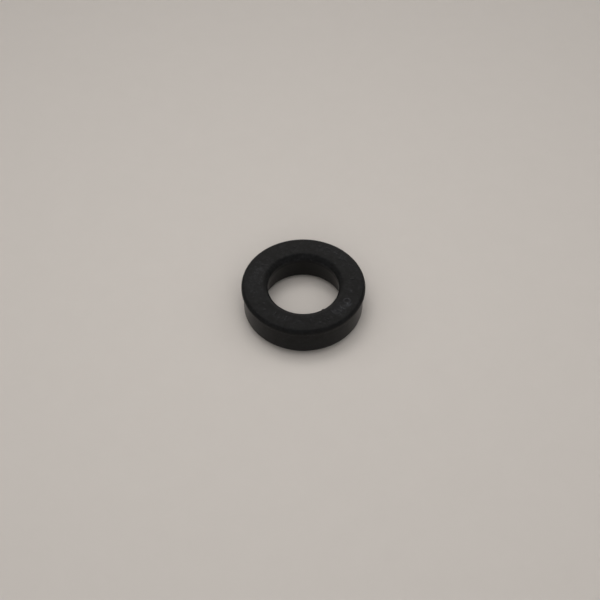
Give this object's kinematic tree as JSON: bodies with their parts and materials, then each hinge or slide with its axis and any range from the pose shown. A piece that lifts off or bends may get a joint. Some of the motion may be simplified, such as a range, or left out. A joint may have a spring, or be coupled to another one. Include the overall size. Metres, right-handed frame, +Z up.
{
  "type": "hydraulic seal",
  "caption": "Moulded rubber U-cup seal ring: flat heel face with rounded edges, a relieved outer wall, and bevelled lips around a pressure groove.",
  "frame": {"origin": "on the ring's axis, in the plane that the outer lip stands on", "axes": "+Z up along the ring's axis, from the lips to the heel face; X and Y are any two radii at right angles"},
  "size_m": [0.024, 0.024, 0.008],
  "materials": {
    "nitrile_rubber": "matte moulded, faintly mottled"
  },
  "bodies": {
    "root": {"seal": "nitrile_rubber"}
  },
  "joints": []
}
